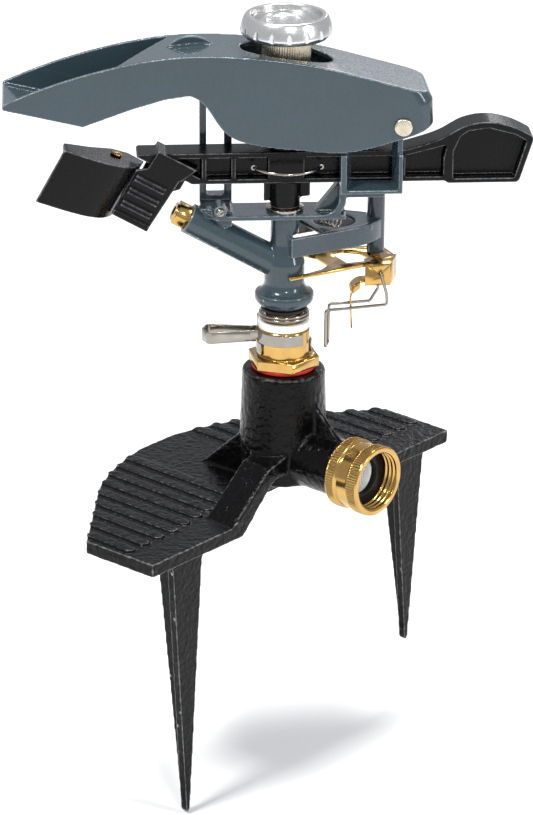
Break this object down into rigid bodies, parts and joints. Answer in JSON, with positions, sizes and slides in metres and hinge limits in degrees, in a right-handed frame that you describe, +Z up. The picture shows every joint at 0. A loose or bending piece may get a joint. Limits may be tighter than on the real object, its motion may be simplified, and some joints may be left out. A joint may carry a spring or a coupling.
{
  "type": "impact sprinkler",
  "caption": "Impact sprinkler head with a jet deflector, sprung arm and trip, on a cast step base with ground spikes and a hose swivel.",
  "frame": {"origin": "on the spin axis of the head, level with the shoulders of the ground spikes, 4 mm below the step plates", "axes": "+Z up along the spin axis, +X along the impact arm towards its counterweight, so the nozzle points to -X"},
  "size_m": [0.2355, 0.176, 0.3609],
  "materials": {
    "visor_paint": "slate blue-grey gloss paint",
    "black_paint": "gloss black paint",
    "black_enamel": "black enamel over a hammered casting",
    "brass": "bright machined brass",
    "steel": "plain spring steel",
    "chrome": "satin chrome plate",
    "nickel": "nickel plated brass",
    "nylon": "white nylon",
    "red_gasket": "red fibre gasket",
    "black_rubber": "black rubber"
  },
  "bodies": {
    "base": {"step_base": "black_enamel", "left_spike": "black_enamel", "right_spike": "black_enamel", "base_gasket": "red_gasket", "bearing_nipple": "brass", "nylon_washer": "nylon"},
    "swivel": {"swivel_nut": "brass", "hose_washer": "black_rubber", "filter_screen": "steel"},
    "upper_clip": {"upper_collar": "steel"},
    "lower_clip": {"lower_collar": "steel"},
    "head": {"sprinkler_body": "visor_paint", "nozzle": "brass", "stream_straightener": "nylon", "body_screw": "steel", "fulcrum_pin": "steel", "hub_washer": "steel", "visor_pin": "nickel", "trip_pivot_pin": "brass", "overcentre_spring": "steel", "riser_tube": "brass", "thrust_washer": "black_rubber", "dust_seal": "black_rubber", "thrust_spring": "steel", "arm_spring": "steel"},
    "arm": {"impact_arm": "black_paint", "lower_bushing": "brass", "upper_bushing": "brass", "drive_spoon": "black_paint", "spoon_rivet": "brass", "spring_hook": "steel"},
    "visor": {"deflector_visor": "visor_paint"},
    "cup": {"thrust_cup": "steel"},
    "knob": {"adjusting_knob": "chrome", "knob_stem": "nickel"},
    "trip": {"trip_plate": "brass", "leaf_spring": "brass"},
    "wire": {"trip_wire": "steel"}
  },
  "joints": [
    {"name": "head_spin", "type": "hinge", "parent": "base", "child": "head", "pos_m": [0, 0, 0.09], "axis": [0, 0, 1], "range_deg": [-135, 45]},
    {"name": "arm_swing", "type": "hinge", "parent": "head", "child": "arm", "pos_m": [0, 0, 0.165], "axis": [0, 0, 1], "range_deg": [0, 75], "stiffness_Nm_per_rad": 0.02, "springref_deg": -28.65},
    {"name": "knob_drop", "type": "slide", "parent": "head", "child": "cup", "axis": [0, 0, -1], "range_m": [0, 0.0025]},
    {"name": "knob_turn", "type": "hinge", "parent": "cup", "child": "knob", "pos_m": [0, 0, 0.22], "axis": [0, 0, 1], "range_deg": [0, 720]},
    {"name": "visor_tilt", "type": "hinge", "parent": "head", "child": "visor", "pos_m": [0.0506, 0, 0.1896], "axis": [0, 1, 0], "range_deg": [-2.9, 0]},
    {"name": "trip_flip", "type": "hinge", "parent": "head", "child": "trip", "pos_m": [0.043, 0.02, 0.1167], "axis": [0, 0, 1], "range_deg": [0, 3]},
    {"name": "trip_wire_swing", "type": "hinge", "parent": "trip", "child": "wire", "pos_m": [0.044, 0.005, 0.1134], "axis": [0, 1, 0], "range_deg": [-32, 0]},
    {"name": "upper_collar_turn", "type": "hinge", "parent": "base", "child": "upper_clip", "pos_m": [0, 0, 0.0866], "axis": [0, 0, 1], "range_deg": [-20, 20]},
    {"name": "lower_collar_turn", "type": "hinge", "parent": "base", "child": "lower_clip", "pos_m": [0, 0, 0.081], "axis": [0, 0, 1], "range_deg": [-20, 20]},
    {"name": "swivel_spin", "type": "hinge", "parent": "base", "child": "swivel", "pos_m": [0.03394, -0.03394, 0.0294], "axis": [0.7071, -0.7071, 0], "continuous": true}
  ],
  "couplings": [
    {"joint": "knob_drop", "follows": "knob_turn", "m_per_rad": 0.000198},
    {"joint": "visor_tilt", "follows": "knob_turn", "ratio": -0.00393}
  ]
}
